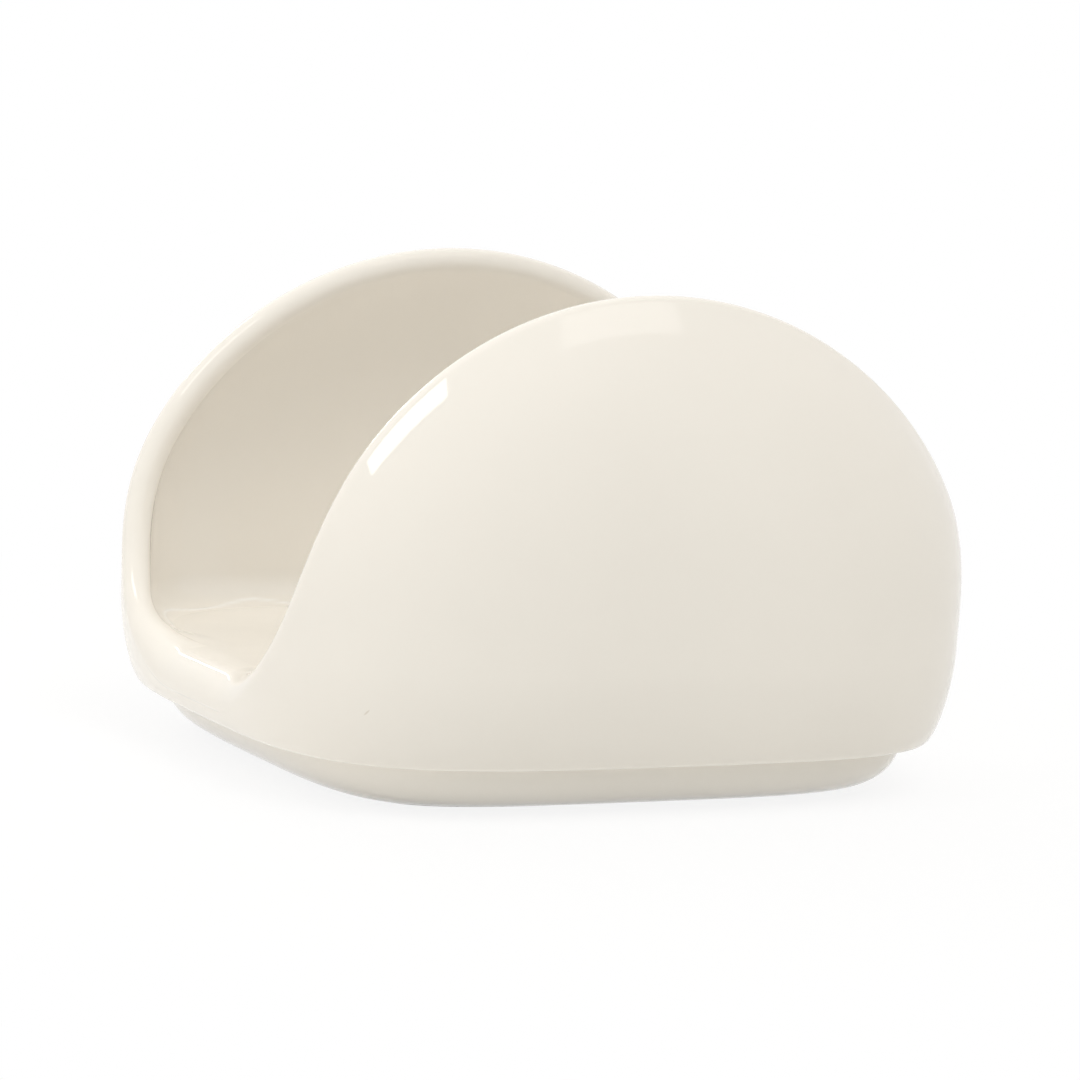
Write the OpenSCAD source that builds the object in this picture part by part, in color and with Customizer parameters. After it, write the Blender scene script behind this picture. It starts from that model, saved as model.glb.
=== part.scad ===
// Napkin holder in glazed porcelain: two cupped walls on a cradle with an open-ended trough, on a low foot.
// The origin is on the table under the body's middle. X runs along the trough, Y across it and Z up.
// One quarter of the body is worked out from the outline seen from above. The rest are its mirror images.

/* [Body] */
// Length of the waist's outline along the trough; the open ends lie a little inside it
body_l = 120; // [104:1:140]
// Width of the body across both walls
body_w = 105; // [96:1:122]
// Height of the walls' crests above the table
crest_h = 76.8; // [64:0.2:92]
// Height of the waist, the widest level, where the walls stand on the cradle
waist_h = 22.4; // [21:0.2:26]
// Power of the outline seen from above at the waist: 2 is an ellipse, more is squarer
plan_power = 3.6; // [2.6:0.1:4.2]

/* [Walls] */
// Thickness of the walls
wall_t = 4.4; // [3:0.1:5.2]
// Distance from the trough's middle to the walls' rim line, above its sweep
rim_reach = 36.4; // [33:0.2:39]
// Height at which the rim line leaves the upright and sweeps in towards the trough's lip
sweep_h = 47; // [42:0.5:56]
// Power of the walls' lean over the trough: 2 leans all the way up, more leans late
lean_power = 3; // [2:0.1:4.2]

/* [Trough] */
// Height of the trough's floor above the table
floor_h = 17; // [16:0.2:18.6]
// Run of the fillet from each wall's inner face onto the floor
fillet_run = 4.4; // [4:0.2:8]
// Distance from the trough's middle over which its lip is level, to where the rim line starts to sweep up
lip_reach = 9; // [7:0.2:15]
// Radius at which the floor rolls over at the trough's lip
roll_r = 5; // [3:0.1:5.6]

/* [Base] */
// Height of the foot from the table to the ledge under the body
foot_h = 8; // [6.6:0.2:9.2]
// Inset of the body's rounded bottom edge from the waist
edge_inset = 3.8; // [2.8:0.2:6]
// Power of the bottom edge's rounding: 2 is a quarter ellipse, less is softer
edge_power = 1.6; // [1.5:0.1:2.4]
// Width of the ledge between the bottom edge and the foot
ledge_w = 2; // [1.2:0.1:3.4]
// Run of the foot's rounded side from the ledge in to its flat bottom
foot_run = 10; // [8:0.2:13]
// Further inset of the foot at its two ends
foot_end = 2.4; // [0:0.2:5]
// Width of the foot's flat bottom
bottom_w = 4.6; // [3.6:0.1:6]
// Run of the foot's inner side from its flat bottom up to the recess
inner_run = 2.6; // [1.6:0.1:4]

/* [Standing rim] */
// Height of the bare standing rim under the glazed foot
bare_h = 0.5; // [0.4:0.05:0.9]
// Glaze margin left on the foot's flat bottom at each side of the bare rim
glaze_margin = 0.8; // [0.5:0.05:1.2]

/* [Recess] */
// Thickness of the base between the recess and the trough's floor
base_t = 5.6; // [4.6:0.1:7]
// Run of the recess's domed corner
dome_run = 9; // [5:0.5:11]

/* [Hidden] */

glaze_colour = [0.93, 0.90, 0.84];
bare_colour = [0.86, 0.83, 0.77];

// Numbers of steps: along the trough's end, down the rim's sweep and across each half of a wall
end_steps = 4;
sweep_steps = 8;
wall_steps = 11;
// Numbers of steps: along each wall's rim, over half of its round edge, down the side and down a fillet
rim_steps = 52;
half_edge = 3;
side_steps = 7;
fillet_steps = 6;
// Numbers of steps: round the foot's loop, and down each of the foot's and the recess's curves
loop_steps = 80;
curve_steps = 5;
// Share of its rise by which a wall is probed for its slope
probe_share = 0.0001;
// Power of the arch at the crest, where sections are round
crest_power = 2;
// Power with which the rim's edge grows late into the lip's wider roll
roll_power = 4;

half_l = body_l / 2;
half_w = body_w / 2;
rim_r = wall_t / 2;
edge_steps = 2 * half_edge;
belly = half_w - rim_reach;
side_drop = waist_h - foot_h;

// The rim line's crest lies under the rim's own top by what the leaning edge adds
crest_slope = lean_power * belly / (crest_h - waist_h);
crest_line_h = crest_h - rim_r * (1 - crest_slope / norm([1, crest_slope]));
wall_rise = crest_line_h - waist_h;
probe = wall_rise * probe_share;

// The rounded edge has its middle line at this height at the trough's lip, and the fillet falls this far
roll_mid_h = floor_h - roll_r;
fillet_drop = waist_h - floor_h;

// Seen along the trough the rim line is a quarter ellipse of this run and rise, and upright above it
sweep_run = rim_reach - lip_reach;
sweep_rise = sweep_h - roll_mid_h;
rim_y_waist = rim_y(waist_h);
rim_x = half_l * pow(1 - pow(rim_y_waist / half_w, plan_power), 1 / plan_power);

foot_inset = edge_inset + ledge_w;
stand_inset = foot_inset + foot_run;
inner_inset = stand_inset + bottom_w;
recess_inset = inner_inset + inner_run;
ceiling_h = floor_h - base_t;
foot_share = 1 - foot_end / (half_l - foot_inset);

function signed_pow(v, p) = sign(v) * pow(abs(v), p);
function unit(v) = v / norm(v);

// Waist outline seen from above at angle a, its outward direction, and the angles at which it reaches x or y
function plan_point(a) = [
    half_l * signed_pow(cos(a), 2 / plan_power),
    half_w * signed_pow(sin(a), 2 / plan_power)
];
function out_at(p) = unit([
    signed_pow(p.x / half_l, plan_power - 1) / half_l,
    signed_pow(p.y / half_w, plan_power - 1) / half_w
]);
function angle_at_x(x) = acos(pow(x / half_l, plan_power / 2));
function angle_at_y(y) = asin(pow(y / half_w, plan_power / 2));

// Point at height z on the outline drawn in by d: evenly to the foot's bottom, and beyond it by shrinking
function inset_point(a, d, z) =
    let (
        p = plan_point(a),
        q = p - min(d, stand_inset) * out_at(p),
        deeper = max(0, d - stand_inset)
    )
    [q.x * (1 - deeper / (half_l - stand_inset)), q.y * (1 - deeper / (half_w - stand_inset)), z];

// The same for the foot and the recess, which end a little shorter
function foot_point(a, d, z) =
    let (p = inset_point(a, d, z))
    [foot_share * p.x, p.y, z];

// The body's side below the waist: turn 0 is at the waist and turn 90 at the bottom edge
function turn_at(z) = asin(pow(max(0, waist_h - z) / side_drop, edge_power / 2));
function side_inset(turn) = edge_inset * (1 - pow(cos(turn), 2 / edge_power));
function side_point(a, turn) = inset_point(
    a,
    side_inset(turn),
    waist_h - side_drop * pow(sin(turn), 2 / edge_power)
);
function side_out(a, turn) =
    let (n = out_at(plan_point(a)), fall = pow(tan(turn), 2 - 2 / edge_power))
    unit([n.x, n.y, -edge_inset / side_drop * fall]);

// The fillet onto the floor: fall 0 is at the wall's inner face and fall 90 on the floor
function fillet_inset(fall) = wall_t + fillet_run * (1 - cos(fall));
function fillet_h(fall) = floor_h + fillet_drop * (1 - sin(fall));
function fillet_slope(fall) = atan2(fillet_drop * cos(fall), fillet_run * sin(fall));

// The rounded edge down the trough's end, which meets that fillet: its radius and its middle line's height
function edge_r(fall) = rim_r + (roll_r - rim_r) * pow(sin(fall), roll_power);
function edge_mid_h(fall) = fillet_h(fall) - edge_r(fall) * cos(fillet_slope(fall));

// The rim line at height z: its sweep is 90 where it is upright and 0 where it is level, at the lip
function sweep_at(z) = acos(max(0, min(1, 1 - (z - roll_mid_h) / sweep_rise)));
function rim_y(z) = lip_reach + sweep_run * sin(sweep_at(z));
function sweep_angle(fall) = angle_at_y(rim_y(edge_mid_h(fall)));

// How much the line leans in there, as run and rise; level sections, at turned 0, leave the run out
function sweep_lean(z, turned) =
    let (sweep = sweep_at(z))
    [sweep_run * cos(sweep) * sqrt(turned), sweep_rise * sin(sweep)];

// Spread of places from a wall's middle to its rim, closer together near the rim
function spread(k) = sin(90 * k / wall_steps);

// Half-circle round a wall's edge: from the outer face's end p, over the way up, to the inner face
function edge_points(p, out, along) =
    let (over = unit(cross(out, along)), middle = p - rim_r * out)
    [for (k = [1:edge_steps])
        let (b = 180 * k / edge_steps)
        middle + rim_r * (cos(b) * out + sin(b) * over)];

// The cradle's underside and side along one line, from the recess's ceiling out and up to turn top
function under_points(a, top) = concat(
    [for (k = [curve_steps:-1:0]) let (b = 90 * k / curve_steps)
        foot_point(a, recess_inset + dome_run * (1 - cos(b)), foot_h + (ceiling_h - foot_h) * sin(b))],
    [for (k = [0:side_steps]) side_point(a, 90 - (90 - top) * k / side_steps)]
);

// Down the fillet from fall to the floor, and a little way on along the floor where the fillet has run out
function fillet_points(a, fall) = [
    for (k = [1:fillet_steps])
        let (
            on = 90 - (90 - fall) * (fillet_steps - k) / fillet_steps,
            spare = roll_r * pow(sin(fall), roll_power) * k / fillet_steps
        )
        inset_point(a, fillet_inset(on) + spare, fillet_h(on))
];

// The same line under a wall, on over the wall's seat and down the fillet
function seat_line(a) =
    let (outer = inset_point(a, 0, waist_h), inner = inset_point(a, wall_t, waist_h))
    concat(
        under_points(a, 0),
        [for (k = [1:edge_steps]) outer + (inner - outer) * k / edge_steps],
        fillet_points(a, 0)
    );

// The same line at the trough's end, on over the rounded edge to where it meets the fillet at fall
function end_line(a, fall) =
    let (
        n = out_at(plan_point(a)),
        r = edge_r(fall),
        slope = fillet_slope(fall),
        mid_h = edge_mid_h(fall),
        turn = turn_at(mid_h + r * side_out(a, turn_at(mid_h)).z),
        p = side_point(a, turn),
        out = side_out(a, turn),
        middle = [p.x - r * out.x, p.y - r * out.y, mid_h],
        lean = sweep_lean(mid_h, sin(fall)),
        level = [-n.y, n.x, 0],
        along = lean[0] / n.x * level + lean[1] * cross(out, level),
        over = unit(cross(out, along)),
        inner = [-n.x * sin(slope), -n.y * sin(slope), cos(slope)],
        flat = fillet_inset(fall) - r * sin(slope) - side_inset(turn) - r * norm([out.x, out.y])
    )
    concat(
        under_points(a, turn),
        [for (k = [1:half_edge])
            let (b = 90 * k / half_edge)
            middle + r * (cos(b) * out + sin(b) * over)],
        [for (k = [1:half_edge])
            let (b = 90 * k / half_edge)
            middle - flat * k / half_edge * [n.x, n.y, 0] + r * unit(cos(b) * over + sin(b) * inner)],
        fillet_points(a, fall)
    );

// One quarter of the cradle's lines, from the trough's end to the wall's middle
quarter_lines = concat(
    [for (k = [0:end_steps - 1]) end_line(angle_at_y(lip_reach * k / end_steps), 90)],
    [for (k = [sweep_steps:-1:0]) let (fall = 90 * k / sweep_steps) end_line(sweep_angle(fall), fall)],
    [for (k = [wall_steps - 1:-1:0]) seat_line(angle_at_x(rim_x * spread(k)))]
);

function mirrored(points, sx, sy) = [for (p = points) [sx * p.x, sy * p.y, p.z]];

// Full turn of lines from one quarter, counter-clockwise from above
function full_turn(lines) =
    let (last = len(lines) - 1)
    concat(
        lines,
        [for (k = [last - 1:-1:0]) mirrored(lines[k], -1, 1)],
        [for (k = [1:last]) mirrored(lines[k], -1, -1)],
        [for (k = [last - 1:-1:1]) mirrored(lines[k], 1, -1)]
    );

// Faces of a net of points, in which line follows line and each has the same number of rows
function two(a, b, c, d) = [[a, b, c], [a, c, d]];
function net_faces(lines, rows, wrap_lines, wrap_rows) = [
    for (j = [0:lines - (wrap_lines ? 1 : 2)], k = [0:rows - (wrap_rows ? 1 : 2)])
        let (j1 = (j + 1) % lines, k1 = (k + 1) % rows)
        each two(j * rows + k, j * rows + k1, j1 * rows + k1, j1 * rows + k)
];

// Closed solid from a full turn of lines, closed at its two ends by a middle point each
module turned_solid(lines, first, last) {
    count = len(lines);
    rows = len(lines[0]);
    points = concat([for (l = lines) each l], [first, last]);
    start = [for (j = [0:count - 1]) [count * rows, j * rows, (j + 1) % count * rows]];
    finish = [for (j = [0:count - 1])
        [(j + 1) % count * rows + rows - 1, j * rows + rows - 1, count * rows + 1]];
    polyhedron(points, concat(net_faces(count, rows, true, false), start, finish), convexity = 8);
}

// Closed ring from a full turn of loops
module ring_solid(loops) {
    polyhedron([for (l = loops) each l], net_faces(len(loops), len(loops[0]), true, true), convexity = 6);
}

// Wall profile: share of the rise at height z, and the middle line and the section's power at that share
function rise_share(z) = min(1, (z - waist_h) / wall_rise);
function middle_y(u) = rim_reach + belly * (1 - pow(u, lean_power));
function section_power(u) = crest_power + (plan_power - crest_power) * (1 - u * u);

// Outer face of the back wall: its distance y from the trough's middle plane at x and z
function wall_y(x, z) =
    let (
        u = rise_share(z),
        half = max(probe, rim_x * sqrt(1 - u * u)),
        across = min(1, abs(x) / half),
        p = section_power(u),
        reach = middle_y(u)
    )
    reach * pow(1 - (1 - pow(rim_y(z) / reach, p)) * pow(across, p), 1 / p);

// Outward direction of that face: level at the waist, and elsewhere from its slopes
function wall_out(x, y, z) =
    let (n = out_at([x, y]), step = x < 0 ? -probe : probe)
    z <= waist_h + probe ? [n.x, n.y, 0] : unit([
        abs(x) < probe ? 0 : (wall_y(x - step, z) - y) / step,
        1,
        (wall_y(x, z - probe) - y) / probe
    ]);

// Place on the outer face at angle a of the half ellipse seen from the side, a share s of the way to the rim
function face_place(a, s) =
    let (x = rim_x * s * cos(a), z = waist_h + wall_rise * s * sin(a), y = wall_y(x, z))
    [[x, y, z], wall_out(x, y, z)];

// One line of the back wall: up its outer face, round the rim and back down its inner face
function wall_line(a) =
    let (
        places = [for (k = [1:wall_steps]) face_place(a, spread(k))],
        rim = places[wall_steps - 1],
        lean = sweep_lean(rim[0].z, sin(a)),
        upward = wall_rise * cos(a),
        along = unit([-rim_x * sin(a), upward * lean[0] / lean[1], upward])
    )
    concat(
        [for (p = places) p[0]],
        edge_points(rim[0], rim[1], along),
        [for (k = [wall_steps - 2:-1:0]) places[k][0] - wall_t * places[k][1]]
    );

// Wall of one thickness with a round rim, standing on its level seat at the waist
module wall_solid() {
    lines = [for (i = [0:rim_steps]) wall_line(180 * i / rim_steps)];
    rows = len(lines[0]);
    middle = face_place(0, 0);
    points = concat([for (l = lines) each l], [middle[0], middle[0] - wall_t * middle[1]]);
    outer = (rim_steps + 1) * rows;
    inner = outer + 1;
    far = rim_steps * rows;
    fans = [for (j = [0:rim_steps - 1]) each [
        [outer, j * rows, (j + 1) * rows],
        [(j + 1) * rows + rows - 1, j * rows + rows - 1, inner]
    ]];
    half = (rows - 1) / 2;
    seat = [for (k = [0:half - 2]) each concat(
        two(k + 1, k, rows - 1 - k, rows - 2 - k),
        two(far + k, far + k + 1, far + rows - 2 - k, far + rows - 1 - k)
    )];
    ends = [[half, half - 1, half + 1], [far + half - 1, far + half, far + half + 1]];
    centre = concat(two(0, outer, inner, rows - 1), two(outer, far, far + rows - 1, inner));
    net = net_faces(rim_steps + 1, rows, false, false);
    polyhedron(points, concat(net, fans, seat, ends, centre), convexity = 8);
}

module back_wall() {
    color(glaze_colour)
    wall_solid();
}

module front_wall() {
    color(glaze_colour)
    mirror([0, 1, 0])
    wall_solid();
}

module cradle() {
    color(glaze_colour)
    turned_solid(full_turn(quarter_lines), [0, 0, ceiling_h], [0, 0, floor_h]);
}

// Foot: its inner side down from the recess, its flat bottom, and its rounded side up to the ledge
module foot_ring() {
    drop = foot_h - bare_h;
    color(glaze_colour)
    ring_solid([for (i = [0:loop_steps - 1]) let (a = 360 * i / loop_steps) concat(
        [for (k = [curve_steps:-1:0]) let (b = 90 * k / curve_steps)
            foot_point(a, inner_inset + inner_run * sin(b), bare_h + drop * (1 - cos(b)))],
        [for (k = [curve_steps:-1:0]) let (b = 90 * k / curve_steps)
            foot_point(a, foot_inset + foot_run * (1 - cos(b)), foot_h - drop * sin(b))]
    )]);
}

module standing_rim() {
    wide = stand_inset + glaze_margin;
    narrow = inner_inset - glaze_margin;
    color(bare_colour)
    ring_solid([for (i = [0:loop_steps - 1]) let (a = 360 * i / loop_steps) [
        foot_point(a, narrow, bare_h),
        foot_point(a, narrow, 0),
        foot_point(a, wide, 0),
        foot_point(a, wide, bare_h)
    ]]);
}

front_wall();
back_wall();
cradle();
foot_ring();
standing_rim();
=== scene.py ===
"""Napkin holder in glazed porcelain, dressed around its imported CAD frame.

X runs along the trough, Y across it and Z up, with the origin on the table. Lengths are in metres.
Each CAD node is replaced by a finer mesh of the same surface. The meshes share their seams' points and
normals, so that the glaze runs on unbroken from one to the next, as it does on the one fired piece.
"""

import math

import bpy
import numpy as np
from mathutils import Matrix, Vector


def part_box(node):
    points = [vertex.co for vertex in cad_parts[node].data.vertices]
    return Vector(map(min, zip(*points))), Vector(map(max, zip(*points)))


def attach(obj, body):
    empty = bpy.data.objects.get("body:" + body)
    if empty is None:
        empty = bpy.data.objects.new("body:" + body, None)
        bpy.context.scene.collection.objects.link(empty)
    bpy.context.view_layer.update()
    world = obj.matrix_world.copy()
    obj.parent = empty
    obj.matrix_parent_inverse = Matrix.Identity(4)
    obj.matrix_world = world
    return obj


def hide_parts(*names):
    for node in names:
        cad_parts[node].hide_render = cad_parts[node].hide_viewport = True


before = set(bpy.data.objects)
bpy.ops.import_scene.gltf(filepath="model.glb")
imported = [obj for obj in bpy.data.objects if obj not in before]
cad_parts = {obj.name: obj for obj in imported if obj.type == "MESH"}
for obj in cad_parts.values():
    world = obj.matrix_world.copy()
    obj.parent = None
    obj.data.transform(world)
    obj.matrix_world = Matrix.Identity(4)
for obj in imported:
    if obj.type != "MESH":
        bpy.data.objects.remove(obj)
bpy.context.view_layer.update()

MM = 0.001

# Sizes that the frame gives: the crest, the waist, the foot and the bare rim under it
HALF_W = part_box("cradle")[1].y
CREST_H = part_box("front_wall")[1].z
WAIST_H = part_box("cradle")[1].z
FOOT_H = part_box("foot_ring")[1].z
BARE_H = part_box("standing_rim")[1].z

# The body's outline at the waist, and its walls
HALF_L = 60 * MM
PLAN_POWER = 3.6
CREST_POWER = 2.0
WALL_T = 4.4 * MM
RIM_REACH = 36.4 * MM
SWEEP_H = 47 * MM
LEAN_POWER = 3.0
EASE_POWER = 5

# The trough: its floor, the fillets onto it, and the rounded edge at its open ends
FLOOR_H = 17 * MM
FILLET_RUN = 4.4 * MM
LIP_REACH = 9 * MM
ROLL_R = 5 * MM
ROLL_POWER = 4

# The bottom edge, the foot and the recess
EDGE_INSET = 3.8 * MM
EDGE_POWER = 1.6
LEDGE_W = 2 * MM
FOOT_RUN = 10 * MM
FOOT_END = 2.4 * MM
BOTTOM_W = 4.6 * MM
INNER_RUN = 2.6 * MM
BASE_T = 5.6 * MM
DOME_RUN = 9 * MM
GLAZE_MARGIN = 0.8 * MM

# The bead of pooled glaze along the fillet, which also carries a painted highlight: its height, its place
# and width across the fillet as shares, the power by which it fades out towards the lips, and the waves in
# its place as waves per turn, size and start
BEAD_H = 0.12 * MM
BEAD_PLACE = 0.77
BEAD_WIDTH = 0.045
BEAD_FADE = 3
BEAD_WAVES = ((18, 0.11, 4.08), (5, 0.03, 0.4), (31, 0.012, 2.1))

# A fleck in the glaze near the front wall's left end: its middle, the way it runs, its half sizes, and the
# shares of them between which it fades out
FLECK_AT = (-48.9 * MM, -43.0 * MM, 16.4 * MM)
FLECK_ALONG = (0.95, -1.18, 1.52)
FLECK_SIZE = (0.62 * MM, 0.14 * MM, 0.14 * MM)
FLECK_EDGE = (0.5, 1.3)

# Numbers of steps in the meshes
END_STEPS = 16
SWEEP_STEPS = 56
WALL_STEPS = 30
RIM_STEPS = 168
HALF_EDGE = 18
SIDE_STEPS = 26
FILLET_STEPS = 72
LOOP_STEPS = 240
CURVE_STEPS = 14

RIM_R = WALL_T / 2
EDGE_STEPS = 2 * HALF_EDGE
BELLY = HALF_W - RIM_REACH
SIDE_DROP = WAIST_H - FOOT_H
FILLET_DROP = WAIST_H - FLOOR_H
ROLL_MID_H = FLOOR_H - ROLL_R
SWEEP_RUN = RIM_REACH - LIP_REACH
SWEEP_RISE = SWEEP_H - ROLL_MID_H
CREST_SLOPE = LEAN_POWER * BELLY / (CREST_H - WAIST_H)
WALL_RISE = CREST_H - RIM_R * (1 - CREST_SLOPE / math.hypot(1, CREST_SLOPE)) - WAIST_H
FOOT_INSET = EDGE_INSET + LEDGE_W
STAND_INSET = FOOT_INSET + FOOT_RUN
INNER_INSET = STAND_INSET + BOTTOM_W
RECESS_INSET = INNER_INSET + INNER_RUN
CEILING_H = FLOOR_H - BASE_T
FOOT_SHARE = 1 - FOOT_END / (HALF_L - FOOT_INSET)
QUARTER = math.pi / 2
PROBE = 1e-4 * WALL_RISE
SAME = 1e-3 * MM
SMALL, TINY = 1e-12, 1e-20


def signed_pow(v, p):
    return np.sign(v) * np.abs(v) ** p


def unit(v):
    v = np.asarray(v, float)
    return v / np.linalg.norm(v, axis=-1, keepdims=True)


# Outline


def plan_point(a):
    """The waist's outline at angle a, seen from above."""
    return np.array([
        HALF_L * signed_pow(math.cos(a), 2 / PLAN_POWER),
        HALF_W * signed_pow(math.sin(a), 2 / PLAN_POWER),
    ])


def out_at(p):
    """The outline's outward direction at p."""
    return unit([
        signed_pow(p[0] / HALF_L, PLAN_POWER - 1) / HALF_L,
        signed_pow(p[1] / HALF_W, PLAN_POWER - 1) / HALF_W,
    ])


def angle_at_x(x):
    return math.acos((x / HALF_L) ** (PLAN_POWER / 2))


def angle_at_y(y):
    return math.asin((y / HALF_W) ** (PLAN_POWER / 2))


def inset_points(a, d, z):
    """Points at heights z on the outline drawn in by d: evenly to the foot's bottom, then by shrinking."""
    d, z = np.broadcast_arrays(np.asarray(d, float), np.asarray(z, float))
    p = plan_point(a)
    q = p - np.minimum(d, STAND_INSET)[..., None] * out_at(p)
    deeper = np.maximum(0, d - STAND_INSET)
    x = q[..., 0] * (1 - deeper / (HALF_L - STAND_INSET))
    y = q[..., 1] * (1 - deeper / (HALF_W - STAND_INSET))
    return np.stack([x, y, z], -1)


def foot_points(a, d, z):
    """The same for the foot and the recess, which end a little shorter."""
    return inset_points(a, d, z) * [FOOT_SHARE, 1, 1]


# The body's side, from the waist (turn 0) down to the bottom edge (turn 90 degrees)


def turn_at(z):
    return math.asin(min(1, max(0, WAIST_H - z) / SIDE_DROP) ** (EDGE_POWER / 2))


def side_inset(turn):
    return EDGE_INSET * (1 - np.abs(np.cos(turn)) ** (2 / EDGE_POWER))


def side_points(a, turn):
    return inset_points(a, side_inset(turn), WAIST_H - SIDE_DROP * np.sin(turn) ** (2 / EDGE_POWER))


def side_out(a, turn):
    n = out_at(plan_point(a))
    return unit([n[0], n[1], -EDGE_INSET / SIDE_DROP * math.tan(turn) ** (2 - 2 / EDGE_POWER)])


# The fillet onto the floor, from the wall's inner face (fall 0) to the floor (fall 90 degrees)


def fillet_inset(fall):
    return WALL_T + FILLET_RUN * (1 - np.cos(fall))


def fillet_h(fall):
    return FLOOR_H + FILLET_DROP * (1 - np.sin(fall))


def fillet_slope(fall):
    return math.atan2(FILLET_DROP * math.cos(fall), FILLET_RUN * math.sin(fall))


# The rounded edge that runs down the trough's end to meet that fillet


def edge_r(fall):
    return RIM_R + (ROLL_R - RIM_R) * math.sin(fall) ** ROLL_POWER


def edge_mid_h(fall):
    return float(fillet_h(fall)) - edge_r(fall) * math.cos(fillet_slope(fall))


def sweep_at(z):
    """The rim line's sweep at height z: a quarter turn where it is upright, and 0 at the level lip."""
    return np.arccos(np.clip(1 - (z - ROLL_MID_H) / SWEEP_RISE, 0, 1))


def rim_y(z):
    return LIP_REACH + SWEEP_RUN * np.sin(sweep_at(z))


def sweep_angle(fall):
    return angle_at_y(rim_y(edge_mid_h(fall)))


def sweep_lean(z):
    """Run and rise of the rim line at z."""
    sweep = sweep_at(z)
    return SWEEP_RUN * math.cos(sweep), SWEEP_RISE * math.sin(sweep)


RIM_X = HALF_L * (1 - (rim_y(WAIST_H) / HALF_W) ** PLAN_POWER) ** (1 / PLAN_POWER)


def fillet_points(a, fall):
    k = np.arange(1, FILLET_STEPS + 1) / FILLET_STEPS
    on = QUARTER - (QUARTER - fall) * (1 - k)
    return inset_points(a, fillet_inset(on) + ROLL_R * math.sin(fall) ** ROLL_POWER * k, fillet_h(on))


def under_points(a, top):
    """The cradle's underside and side on one line, from the recess's ceiling out and up to turn top."""
    b = QUARTER * np.arange(CURVE_STEPS, -1, -1) / CURVE_STEPS
    dome_h = FOOT_H + (CEILING_H - FOOT_H) * np.sin(b)
    dome = foot_points(a, RECESS_INSET + DOME_RUN * (1 - np.cos(b)), dome_h)
    k = np.arange(SIDE_STEPS + 1) / SIDE_STEPS
    return dome, side_points(a, QUARTER - (QUARTER - top) * k)


def seat_line(a):
    outer, inner = inset_points(a, 0, WAIST_H), inset_points(a, WALL_T, WAIST_H)
    k = (np.arange(1, EDGE_STEPS + 1) / EDGE_STEPS)[:, None]
    return np.vstack([*under_points(a, 0), outer + (inner - outer) * k, fillet_points(a, 0)])


def end_line(a, fall):
    n = out_at(plan_point(a))
    r, slope, mid_h = edge_r(fall), fillet_slope(fall), edge_mid_h(fall)
    turn = turn_at(mid_h + r * side_out(a, turn_at(mid_h))[2])
    p, out = side_points(a, turn), side_out(a, turn)
    middle = np.array([p[0] - r * out[0], p[1] - r * out[1], mid_h])
    run, rise = sweep_lean(mid_h)
    level = np.array([-n[1], n[0], 0])
    along = run / n[0] * level + rise * np.cross(out, level)
    over = unit(np.cross(out, along))
    inner = np.array([-n[0] * math.sin(slope), -n[1] * math.sin(slope), math.cos(slope)])
    flat = fillet_inset(fall) - r * math.sin(slope) - side_inset(turn) - r * math.hypot(out[0], out[1])
    k = (np.arange(1, HALF_EDGE + 1) / HALF_EDGE)[:, None]
    b = QUARTER * k
    rise_part = middle + r * (np.cos(b) * out + np.sin(b) * over)
    fall_part = middle - flat * k * [n[0], n[1], 0] + r * unit(np.cos(b) * over + np.sin(b) * inner)
    return np.vstack([*under_points(a, turn), rise_part, fall_part, fillet_points(a, fall)])


def spread(k):
    """Places from a wall's middle to its rim, closer together near the rim."""
    return math.sin(QUARTER * k / WALL_STEPS)


def full_turn(lines):
    """A full turn of lines, counter-clockwise from above, from one quarter."""
    q = np.array(lines)
    left, near, right = q * [-1, 1, 1], q * [-1, -1, 1], q * [1, -1, 1]
    return np.concatenate([q, left[-2::-1], near[1:], right[-2:0:-1]])


def add_bead(lines):
    """Raises the bead on a full turn of lines, square to the fillet, and returns its share at each point."""
    fillet = lines[:, -FILLET_STEPS:]
    k = np.arange(1, FILLET_STEPS + 1) / FILLET_STEPS
    turn = np.arctan2(fillet[:, 0, 1], fillet[:, 0, 0])
    place = BEAD_PLACE + sum(size * np.sin(waves * turn + start) for waves, size, start in BEAD_WAVES)
    fade = np.clip((fillet[:, 0, 2] - FLOOR_H) / FILLET_DROP, 0, 1) ** BEAD_FADE
    share = fade[:, None] * np.exp(-((k - place[:, None]) / BEAD_WIDTH) ** 2)
    share *= 1 - np.exp(-((1 - k) / BEAD_WIDTH) ** 2)
    across = np.gradient(fillet, axis=1)
    around = np.roll(fillet, -1, axis=0) - np.roll(fillet, 1, axis=0)
    out = np.cross(around, across)
    out *= np.sign(out[..., 2:])
    length = np.maximum(np.linalg.norm(out, axis=-1, keepdims=True), SMALL)
    fillet += BEAD_H * share[..., None] * out / length
    # The returned share marks where the glaze is lightened into a painted highlight along the bead.
    painted_highlight = np.zeros(lines.shape[:2])
    painted_highlight[:, -FILLET_STEPS:] = share
    return painted_highlight


# Walls


def seam_ease():
    """Slope at the waist that carries the cradle's rim line on into the wall's."""
    n = out_at(np.array([RIM_X, rim_y(WAIST_H)]))
    run, rise = sweep_lean(WAIST_H)
    return n[1] / n[0] * run / rise * WALL_RISE / RIM_X


EASE = seam_ease()


def rim_half(u):
    """Half the wall's length at the share u of its rise: an arch, eased in just above the waist."""
    return RIM_X * (np.sqrt(1 - u * u) - EASE * u * (1 - u) ** EASE_POWER)


def rim_narrowing(u):
    """Slope of what that easing takes off, as a share of the wall's half length."""
    return EASE * (1 - u) ** (EASE_POWER - 1) * (1 - (EASE_POWER + 1) * u)


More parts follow.
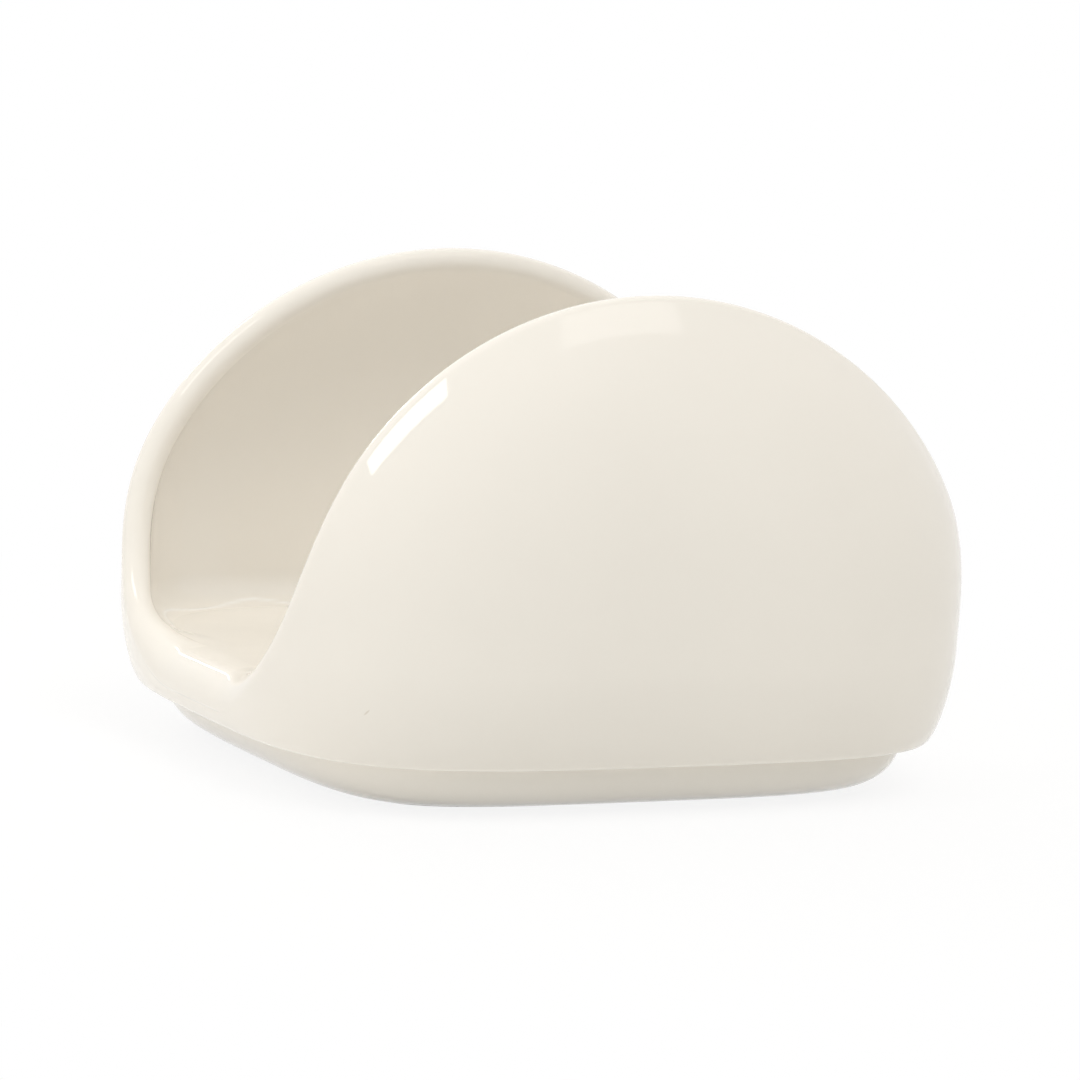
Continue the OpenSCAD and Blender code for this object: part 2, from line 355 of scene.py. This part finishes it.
def wall_y(x, z):
    """Distance of the back wall's outer face from the trough's middle plane, at arrays x and z."""
    u = np.clip((z - WAIST_H) / WALL_RISE, 0, 1)
    half = np.maximum(PROBE, rim_half(u))
    across = np.minimum(1, np.abs(x) / half)
    p = CREST_POWER + (PLAN_POWER - CREST_POWER) * (1 - u * u)
    reach = RIM_REACH + BELLY * (1 - u ** LEAN_POWER)
    return reach * (1 - (1 - (rim_y(z) / reach) ** p) * across ** p) ** (1 / p)


def wall_out(x, y, z):
    """Outward direction of that face: level at the waist, and elsewhere from its slopes."""
    n = np.array([[*out_at(q), 0.0] for q in zip(x, y)])
    step = np.where(x < 0, -PROBE, PROBE)
    slope_x = np.where(np.abs(x) < PROBE, 0, (wall_y(x - step, z) - y) / step)
    slope_z = (wall_y(x, z - PROBE) - y) / PROBE
    steep = unit(np.stack([slope_x, np.ones_like(x), slope_z], -1))
    return np.where((z <= WAIST_H + PROBE)[:, None], n, steep)


def wall_line(a):
    """One line of the back wall: up its outer face, round the rim and back down its inner face."""
    s = np.array([spread(k) for k in range(1, WALL_STEPS + 1)])
    up = max(0, math.sin(a))
    x, z = s * math.copysign(rim_half(up), math.cos(a)), WAIST_H + WALL_RISE * s * up
    y = wall_y(x, z)
    face, out = np.stack([x, y, z], -1), wall_out(x, y, z)
    run, rise = sweep_lean(z[-1])
    upward = WALL_RISE * math.cos(a)
    sideways = -RIM_X * (up + rim_narrowing(up) * abs(math.cos(a)))
    along = unit([sideways, upward * run / rise, upward])
    over = unit(np.cross(out[-1], along))
    b = (math.pi * np.arange(1, EDGE_STEPS + 1) / EDGE_STEPS)[:, None]
    rim = face[-1] - RIM_R * out[-1] + RIM_R * (np.cos(b) * out[-1] + np.sin(b) * over)
    return np.vstack([face, rim, (face - WALL_T * out)[-2::-1]])


# Meshes


class Net:
    """Points and faces of one piece. Faces marked hidden lie against another piece and shade by themselves.

    Along the fillet's bead, the share of a painted highlight is kept at each point.
    """

    def __init__(self):
        self.points = []
        self.faces = []
        self.hidden = []
        self.painted_highlight = []

    def add(self, points):
        start = len(self.points)
        self.points.extend(np.asarray(points, float).reshape(-1, 3))
        return start

    def face(self, *corners, hidden=False):
        self.faces.append(corners)
        self.hidden.append(hidden)

    def grid(self, lines, rows, closed=False, hidden_row=None):
        """Faces between the net's first lines of rows points each. A closed grid wraps round both ways."""
        for j in range(lines if closed else lines - 1):
            for k in range(rows if closed else rows - 1):
                a, b, up = j * rows, (j + 1) % lines * rows, (k + 1) % rows
                self.face(a + k, b + k, b + up, a + up, hidden=k == hidden_row)


def wall_net():
    net = Net()
    lines = [wall_line(math.pi * i / RIM_STEPS) for i in range(RIM_STEPS + 1)]
    rows = len(lines[0])
    net.add(lines)
    middle = inset_points(QUARTER, 0, WAIST_H)
    outer = net.add([middle, middle - [0, WALL_T, 0]])
    inner, far, half = outer + 1, RIM_STEPS * rows, (rows - 1) // 2
    net.grid(RIM_STEPS + 1, rows)
    for j in range(RIM_STEPS):
        net.face(outer, (j + 1) * rows, j * rows)
        net.face((j + 1) * rows + rows - 1, inner, j * rows + rows - 1)
    for k in range(half - 1):
        net.face(k, k + 1, rows - 2 - k, rows - 1 - k, hidden=True)
        net.face(far + k + 1, far + k, far + rows - 1 - k, far + rows - 2 - k, hidden=True)
    net.face(half - 1, half, half + 1, hidden=True)
    net.face(far + half, far + half - 1, far + half + 1, hidden=True)
    net.face(outer, 0, rows - 1, inner, hidden=True)
    net.face(far, outer, inner, far + rows - 1, hidden=True)
    return net


def cradle_net():
    ends = [end_line(angle_at_y(LIP_REACH * k / END_STEPS), QUARTER) for k in range(END_STEPS)]
    falls = [QUARTER * k / SWEEP_STEPS for k in range(SWEEP_STEPS, -1, -1)]
    swept = [end_line(sweep_angle(f), f) for f in falls]
    seats = [seat_line(angle_at_x(RIM_X * spread(k))) for k in range(WALL_STEPS - 1, -1, -1)]
    quarter = ends + swept + seats
    lines = full_turn(quarter)
    # The bead's share also marks where a painted highlight lightens the glaze.
    painted_highlight = add_bead(lines)
    count, rows, last = len(lines), len(lines[0]), len(quarter) - 1
    first_seat = END_STEPS + SWEEP_STEPS
    seat_row = CURVE_STEPS + 1 + SIDE_STEPS
    seated = set(range(first_seat, 2 * last - first_seat))
    seated |= {j + 2 * last for j in seated}
    net = Net()
    net.add(lines)
    ceiling, floor = net.add([[0, 0, CEILING_H], [0, 0, FLOOR_H]]), count * rows + 1
    net.painted_highlight = [*painted_highlight.ravel(), 0, 0]
    for j in range(count):
        a, b = j * rows, (j + 1) % count * rows
        for k in range(rows - 1):
            on_seat = seat_row <= k < seat_row + EDGE_STEPS and j in seated
            net.face(a + k, b + k, b + k + 1, a + k + 1, hidden=on_seat or k == CURVE_STEPS)
        net.face(ceiling, b, a)
        net.face(a + rows - 1, b + rows - 1, floor)
    return net


def ring_net(profile, hidden_row):
    """A closed ring from a profile of insets and heights, swept round the outline."""
    net = Net()
    d, z = np.array(profile).T
    loops = [foot_points(2 * math.pi * i / LOOP_STEPS, d, z) for i in range(LOOP_STEPS)]
    net.add(loops)
    net.grid(LOOP_STEPS, len(d), True, hidden_row)
    return net


def foot_net():
    drop = FOOT_H - BARE_H
    b = [QUARTER * k / CURVE_STEPS for k in range(CURVE_STEPS, -1, -1)]
    inner = [(INNER_INSET + INNER_RUN * math.sin(t), BARE_H + drop * (1 - math.cos(t))) for t in b]
    outer = [(FOOT_INSET + FOOT_RUN * (1 - math.cos(t)), FOOT_H - drop * math.sin(t)) for t in b]
    return ring_net(inner + outer, 2 * CURVE_STEPS + 1)


def bare_net():
    wide, narrow = STAND_INSET + GLAZE_MARGIN, INNER_INSET - GLAZE_MARGIN
    return ring_net([(narrow, BARE_H), (narrow, 0), (wide, 0), (wide, BARE_H)], 3)


def corner_normals(nets):
    """Normals per face corner, smooth over each net's shown faces and over the seams between nets."""
    points = np.vstack([net.points for net in nets])
    merged = np.unique(np.round(points / SAME).astype(int), axis=0, return_inverse=True)[1].ravel()
    starts = np.cumsum([0] + [len(net.points) for net in nets])
    faces = [[starts[i] + c for c in f] for i, net in enumerate(nets) for f in net.faces]
    hidden = np.array([h for net in nets for h in net.hidden])
    corners = np.array([len(f) for f in faces])
    first = np.cumsum(corners) - corners
    flat = np.array([c for f in faces for c in f])
    owner = np.repeat(np.arange(len(faces)), corners)
    place = np.arange(len(flat)) - first[owner]
    before = flat[first[owner] + (place - 1) % corners[owner]]
    after = flat[first[owner] + (place + 1) % corners[owner]]
    u, v = points[before] - points[flat], points[after] - points[flat]
    across = np.cross(v, u)
    area = np.zeros((len(faces), 3))
    np.add.at(area, owner, across)
    face_normal = area / np.maximum(np.linalg.norm(area, axis=1, keepdims=True), TINY)
    angle = np.arctan2(np.linalg.norm(across, axis=1), np.sum(u * v, axis=1))
    sums = np.zeros((merged.max() + 1, 3))
    shown = ~hidden[owner]
    np.add.at(sums, merged[flat[shown]], (angle[:, None] * face_normal[owner])[shown])
    smooth = sums / np.maximum(np.linalg.norm(sums, axis=1, keepdims=True), TINY)
    normals = np.where(hidden[owner][:, None], face_normal[owner], smooth[merged[flat]])
    ends = np.cumsum([sum(len(f) for f in net.faces) for net in nets])
    return np.split(normals, ends[:-1])


def make_piece(name, net, normals, material, node):
    mesh = bpy.data.meshes.new(name)
    mesh.from_pydata([tuple(p) for p in net.points], [], net.faces)
    mesh.polygons.foreach_set("use_smooth", [True] * len(net.faces))
    mesh.normals_split_custom_set(normals.tolist())
    mesh.materials.append(material)
    # The share of the painted highlight along the bead goes with the mesh.
    if net.painted_highlight:
        mesh.attributes.new("painted_highlight", "FLOAT", "POINT").data.foreach_set("value", net.painted_highlight)
    piece = bpy.data.objects.new(name, mesh)
    bpy.context.scene.collection.objects.link(piece)
    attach(piece, "root")
    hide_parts(node)
    return piece


# Materials. The glaze and the bare ceramic each vary between two colours. A noise is given as scale
# and detail, and a bump as strength and height.

GLAZE_COLOURS = ((0.885, 0.85, 0.79), (0.905, 0.87, 0.81))
# A paler glaze colour, painted along the fillet's bead as a highlight
PAINTED_HIGHLIGHT_COLOUR = (0.975, 0.96, 0.93, 1)
FLECK_COLOUR = (0.77, 0.72, 0.64, 1)
BARE_COLOURS = ((0.66, 0.60, 0.51), (0.74, 0.69, 0.60))
FLOOR_COLOUR = (0.92, 0.92, 0.91, 1)
GLAZE_ROUGHNESS, BARE_ROUGHNESS, FLOOR_ROUGHNESS = 0.05, 0.85, 0.6
GLAZE_IOR = 1.5
GLAZE_DRIFT, GLAZE_RIPPLE, GLAZE_BUMP = (28, 3.0), (90, 1.0), (0.25, 0.2 * MM)
BARE_DRIFT, BARE_GRAIN, BARE_BUMP = (900, 4.0), (3000, 3.0), (0.6, 0.05 * MM)
DRIFT_ENDS = (0.3, 0.7)


def material_nodes(name):
    material = bpy.data.materials.new(name)
    material.use_nodes = True
    tree = material.node_tree
    return material, tree, tree.nodes["Principled BSDF"]


def noise(tree, scale, detail):
    coords = tree.nodes.new("ShaderNodeTexCoord")
    node = tree.nodes.new("ShaderNodeTexNoise")
    node.inputs["Scale"].default_value = scale
    node.inputs["Detail"].default_value = detail
    tree.links.new(coords.outputs["Object"], node.inputs["Vector"])
    return node.outputs["Fac"]


def drifting(tree, colours, scale, detail):
    """A colour that drifts between two with the noise."""
    node = tree.nodes.new("ShaderNodeValToRGB")
    for element, place, colour in zip(node.color_ramp.elements, DRIFT_ENDS, colours):
        element.position = place
        element.color = (*colour, 1)
    tree.links.new(noise(tree, scale, detail), node.inputs["Fac"])
    return node.outputs["Color"]


def mixed(tree, share, colour, other):
    """The first colour at share 0, and the other one at share 1."""
    node = tree.nodes.new("ShaderNodeMix")
    node.data_type = "RGBA"
    node.inputs["B"].default_value = other
    tree.links.new(share, node.inputs["Factor"])
    tree.links.new(colour, node.inputs["A"])
    return node.outputs["Result"]


def add_bump(tree, shader, height, strength, distance):
    node = tree.nodes.new("ShaderNodeBump")
    node.inputs["Strength"].default_value = strength
    node.inputs["Distance"].default_value = distance
    tree.links.new(height, node.inputs["Height"])
    tree.links.new(node.outputs["Normal"], shader.inputs["Normal"])


def smooth_fade(tree, source, values):
    """From one share to another as the source goes from its first value to its second."""
    node = tree.nodes.new("ShaderNodeMapRange")
    node.interpolation_type = "SMOOTHSTEP"
    for name, value in zip(("From Min", "From Max", "To Min", "To Max"), values):
        node.inputs[name].default_value = value
    tree.links.new(source, node.inputs["Value"])
    return node.outputs["Result"]


def fleck_mask(tree):
    """1 in the fleck and 0 around it."""
    coords = tree.nodes.new("ShaderNodeTexCoord")
    place = tree.nodes.new("ShaderNodeMapping")
    place.vector_type = "TEXTURE"
    place.inputs["Location"].default_value = FLECK_AT
    place.inputs["Rotation"].default_value = Vector(FLECK_ALONG).to_track_quat("X", "Z").to_euler()
    place.inputs["Scale"].default_value = FLECK_SIZE
    reach = tree.nodes.new("ShaderNodeVectorMath")
    reach.operation = "LENGTH"
    tree.links.new(coords.outputs["Object"], place.inputs["Vector"])
    tree.links.new(place.outputs["Vector"], reach.inputs[0])
    return smooth_fade(tree, reach.outputs["Value"], (*FLECK_EDGE, 1, 0))


def glaze_material():
    material, tree, shader = material_nodes("glaze")
    # Along the fillet's bead the glaze is lightened into a painted highlight.
    painted_highlight = tree.nodes.new("ShaderNodeAttribute")
    painted_highlight.attribute_name = "painted_highlight"
    colour = drifting(tree, GLAZE_COLOURS, *GLAZE_DRIFT)
    colour = mixed(tree, painted_highlight.outputs["Fac"], colour, PAINTED_HIGHLIGHT_COLOUR)
    colour = mixed(tree, fleck_mask(tree), colour, FLECK_COLOUR)
    tree.links.new(colour, shader.inputs["Base Color"])
    shader.inputs["Roughness"].default_value = GLAZE_ROUGHNESS
    shader.inputs["IOR"].default_value = GLAZE_IOR
    add_bump(tree, shader, noise(tree, *GLAZE_RIPPLE), *GLAZE_BUMP)
    return material


def bare_material():
    material, tree, shader = material_nodes("bare_rim")
    tree.links.new(drifting(tree, BARE_COLOURS, *BARE_DRIFT), shader.inputs["Base Color"])
    shader.inputs["Roughness"].default_value = BARE_ROUGHNESS
    add_bump(tree, shader, noise(tree, *BARE_GRAIN), *BARE_BUMP)
    return material


# Camera


def make_camera():
    """The photograph's view: a long lens, turned to the front wall's left end, a little above the table."""
    azimuth, elevation, roll = map(math.radians, (-27.6, 8.05, 3.64))
    distance, focal_px, image_px = 0.75, 4795, 1080
    target, target_px = Vector((0, 0, 36 * MM)), (540.8, 530.1)
    back = Vector((
        math.sin(azimuth) * math.cos(elevation),
        -math.cos(azimuth) * math.cos(elevation),
        math.sin(elevation),
    ))
    right = Vector((math.cos(azimuth), math.sin(azimuth), 0))
    up = back.cross(right)
    right, up = right * math.cos(roll) + up * math.sin(roll), up * math.cos(roll) - right * math.sin(roll)
    data = bpy.data.cameras.new("camera")
    data.sensor_width = 36
    data.lens = focal_px / image_px * data.sensor_width
    data.shift_x = 0.5 - target_px[0] / image_px
    data.shift_y = target_px[1] / image_px - 0.5
    data.clip_start, data.clip_end = 0.05, 50
    camera = bpy.data.objects.new("camera", data)
    turn = Matrix((right, up, back)).transposed().to_4x4()
    camera.matrix_world = Matrix.Translation(target + back * distance) @ turn
    bpy.context.scene.collection.objects.link(camera)
    bpy.context.scene.camera = camera


# Light

# The point that the soft boxes face, and the tints of the light
LIGHT_AIM = (0, 0, 0.04)
PLAIN, PALE, CREAM, WARM = (0.985, 0.98, 0.945), (1, 0.985, 0.955), (1, 0.975, 0.94), (1, 0.93, 0.86)

# The room's soft lobes: where each comes from, its sharpness, its strength and its colour
LOBES = (
    ((0, -0.5, 0.87), 20, 5.8, PLAIN),
    ((-1, 0, 0.15), 4, 1.1, PALE),
    ((0.7, 0, 0.7), 4, 0.5, WARM),
    ((0, 0.7, 0.7), 4, 1.05, CREAM),
    ((1, 0, 0.15), 4, 0.1, WARM),
    ((0, 1, 0.15), 4, 0.45, CREAM),
    ((-0.7, 0.7, 0.35), 6, 0.35, PALE),
)

# The soft boxes for the highlights: how far away they stand, and for each its direction, the way its first
# side runs, its two sizes in metres and its power in watts
PANEL_FAR = 1.3
PANELS = (
    ("key", (-0.566, -0.178, 0.818), (-0.48, 0.10, -0.30), (0.64, 0.17), 2.0),
    ("top", (0.30, -0.29, 0.89), (1, 0, 0), (0.5, 0.22), 0.38),
    ("rear", (-0.105, 0.9, 0.42), (1, 0, 0), (0.022, 0.45), 0.6),
)

# The floor: half its side, the distances between which the object's shadow fades out, and the share of plain
# white in its look under the object
FLOOR_HALF = 12
SHADOW_NEAR, SHADOW_FAR = 0.06, 0.2
SHADOW_GLOW = 0.88


def panel_light(name, toward, along, size, power):
    """A soft box that the object sees in the direction toward. The first of its sizes runs along."""
    data = bpy.data.lights.new(name, "AREA")
    data.shape = "RECTANGLE"
    data.size, data.size_y = size
    data.energy = power
    data.color = CREAM
    back, along = Vector(toward).normalized(), Vector(along)
    side = (along - back * along.dot(back)).normalized()
    turn = Matrix((side, back.cross(side), back)).transposed().to_4x4()
    lamp = bpy.data.objects.new(name, data)
    lamp.matrix_world = Matrix.Translation(Vector(LIGHT_AIM) + back * PANEL_FAR) @ turn
    bpy.context.scene.collection.objects.link(lamp)


def seen_white(tree):
    """1 for rays from the camera, or by reflection or through glass, and 0 for light."""
    path = tree.nodes.new("ShaderNodeLightPath")
    most = None
    for name in ("Is Camera Ray", "Is Glossy Ray", "Is Transmission Ray"):
        if most is None:
            most = path.outputs[name]
            continue
        node = tree.nodes.new("ShaderNodeMath")
        node.operation = "MAXIMUM"
        tree.links.new(most, node.inputs[0])
        tree.links.new(path.outputs[name], node.inputs[1])
        most = node.outputs[0]
    return most


def room_light(tree):
    """The room's lobes of light, added up."""
    coords = tree.nodes.new("ShaderNodeTexCoord")
    total = None
    for toward, sharpness, strength, tint in LOBES:
        facing, added = (tree.nodes.new("ShaderNodeVectorMath") for _ in range(2))
        ahead, lobe = (tree.nodes.new("ShaderNodeMath") for _ in range(2))
        facing.operation, added.operation = "DOT_PRODUCT", "MULTIPLY_ADD"
        ahead.operation, lobe.operation = "MAXIMUM", "POWER"
        facing.inputs[1].default_value = Vector(toward).normalized()
        ahead.inputs[1].default_value = 0
        lobe.inputs[1].default_value = sharpness
        added.inputs[1].default_value = Vector(tint) * strength
        tree.links.new(coords.outputs["Generated"], facing.inputs[0])
        tree.links.new(facing.outputs["Value"], ahead.inputs[0])
        tree.links.new(ahead.outputs[0], lobe.inputs[0])
        tree.links.new(lobe.outputs[0], added.inputs[0])
        if total is not None:
            tree.links.new(total, added.inputs[2])
        total = added.outputs[0]
    return total


def make_world():
    """A white room that lights the object softly, mostly from above."""
    world = bpy.data.worlds.new("world")
    world.use_nodes = True
    tree = world.node_tree
    lit = tree.nodes["Background"]
    tree.links.new(room_light(tree), lit.inputs["Color"])
    white = tree.nodes.new("ShaderNodeBackground")
    white.inputs["Color"].default_value = (1, 1, 1, 1)
    white.inputs["Strength"].default_value = 1
    mix = tree.nodes.new("ShaderNodeMixShader")
    tree.links.new(seen_white(tree), mix.inputs["Fac"])
    tree.links.new(lit.outputs[0], mix.inputs[1])
    tree.links.new(white.outputs[0], mix.inputs[2])
    tree.links.new(mix.outputs[0], tree.nodes["World Output"].inputs["Surface"])
    bpy.context.scene.world = world


def make_floor():
    """A pale floor that looks nearly white and keeps a faint shadow of the object."""
    mesh = bpy.data.meshes.new("floor")
    corners = [(x * FLOOR_HALF, y * FLOOR_HALF, 0) for x, y in ((-1, -1), (1, -1), (1, 1), (-1, 1))]
    mesh.from_pydata(corners, [], [(0, 1, 2, 3)])
    floor = bpy.data.objects.new("floor", mesh)
    bpy.context.scene.collection.objects.link(floor)
    material, tree, diffuse = material_nodes("floor")
    diffuse.inputs["Base Color"].default_value = FLOOR_COLOUR
    diffuse.inputs["Roughness"].default_value = FLOOR_ROUGHNESS
    glow = tree.nodes.new("ShaderNodeEmission")
    glow.inputs["Strength"].default_value = 1
    coords = tree.nodes.new("ShaderNodeTexCoord")
    reach = tree.nodes.new("ShaderNodeVectorMath")
    reach.operation = "LENGTH"
    tree.links.new(coords.outputs["Object"], reach.inputs[0])
    fade = smooth_fade(tree, reach.outputs["Value"], (SHADOW_NEAR, SHADOW_FAR, SHADOW_GLOW, 1))
    share = tree.nodes.new("ShaderNodeMath")
    share.operation = "MULTIPLY"
    tree.links.new(seen_white(tree), share.inputs[0])
    tree.links.new(fade, share.inputs[1])
    mix = tree.nodes.new("ShaderNodeMixShader")
    tree.links.new(share.outputs[0], mix.inputs["Fac"])
    tree.links.new(diffuse.outputs[0], mix.inputs[1])
    tree.links.new(glow.outputs[0], mix.inputs[2])
    tree.links.new(mix.outputs[0], tree.nodes["Material Output"].inputs["Surface"])
    mesh.materials.append(material)


make_camera()

glaze, bare = glaze_material(), bare_material()
back = wall_net()
front = wall_net()
front.points = [p * [1, -1, 1] for p in front.points]
front.faces = [tuple(reversed(f)) for f in front.faces]
body = [back, front, cradle_net()]
normals = corner_normals(body)
names = (("glazed_back_wall", "back_wall"), ("glazed_front_wall", "front_wall"), ("glazed_cradle", "cradle"))
for (name, node), net, shade in zip(names, body, normals):
    make_piece(name, net, shade, glaze, node)
foot = foot_net()
make_piece("glazed_foot", foot, corner_normals([foot])[0], glaze, "foot_ring")
rim = bare_net()
rim.hidden = [True] * len(rim.faces)
make_piece("bare_standing_rim", rim, corner_normals([rim])[0], bare, "standing_rim")

make_world()
make_floor()
for panel in PANELS:
    panel_light(*panel)

bpy.context.scene.view_settings.view_transform = "Standard"
